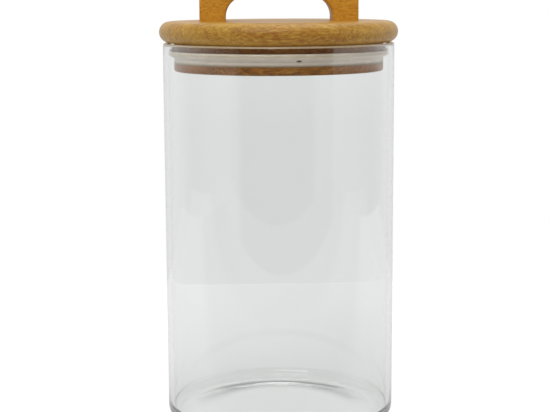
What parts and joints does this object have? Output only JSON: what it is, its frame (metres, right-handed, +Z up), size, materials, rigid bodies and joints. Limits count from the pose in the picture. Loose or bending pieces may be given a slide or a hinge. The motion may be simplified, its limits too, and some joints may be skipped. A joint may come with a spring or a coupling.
{
  "type": "lidded glass canister",
  "caption": "Straight cylindrical glass storage jar with a round wooden plug lid, a flared silicone seal ring and an arched wooden bridge handle.",
  "frame": {"origin": "centre of the ring that the jar stands on, at the surface it stands on", "axes": "+Z up along the jar's axis; +X along the length of the lid's handle"},
  "size_m": [0.103, 0.103, 0.1991],
  "materials": {
    "clear_glass": "fire-polished",
    "lid_wood": "oiled satin",
    "plug_wood": "oiled satin",
    "silicone": "translucent satin",
    "handle_wood": "oiled satin",
    "screw_steel": "zinc plated"
  },
  "bodies": {
    "jar": {"glass_jar": "clear_glass"},
    "seal": {"seal_ring": "silicone"},
    "lid": {"lid_disc": "lid_wood", "lid_plug": "plug_wood", "handle": "handle_wood", "handle_screw_left": "screw_steel", "handle_screw_right": "screw_steel"}
  },
  "joints": [
    {"name": "lid_lift", "type": "slide", "parent": "jar", "child": "seal", "axis": [0, 0, 1], "range_m": [0, 0.12]},
    {"name": "lid_turn", "type": "hinge", "parent": "seal", "child": "lid", "pos_m": [0, 0, 0.165], "axis": [0, 0, 1], "continuous": true}
  ]
}
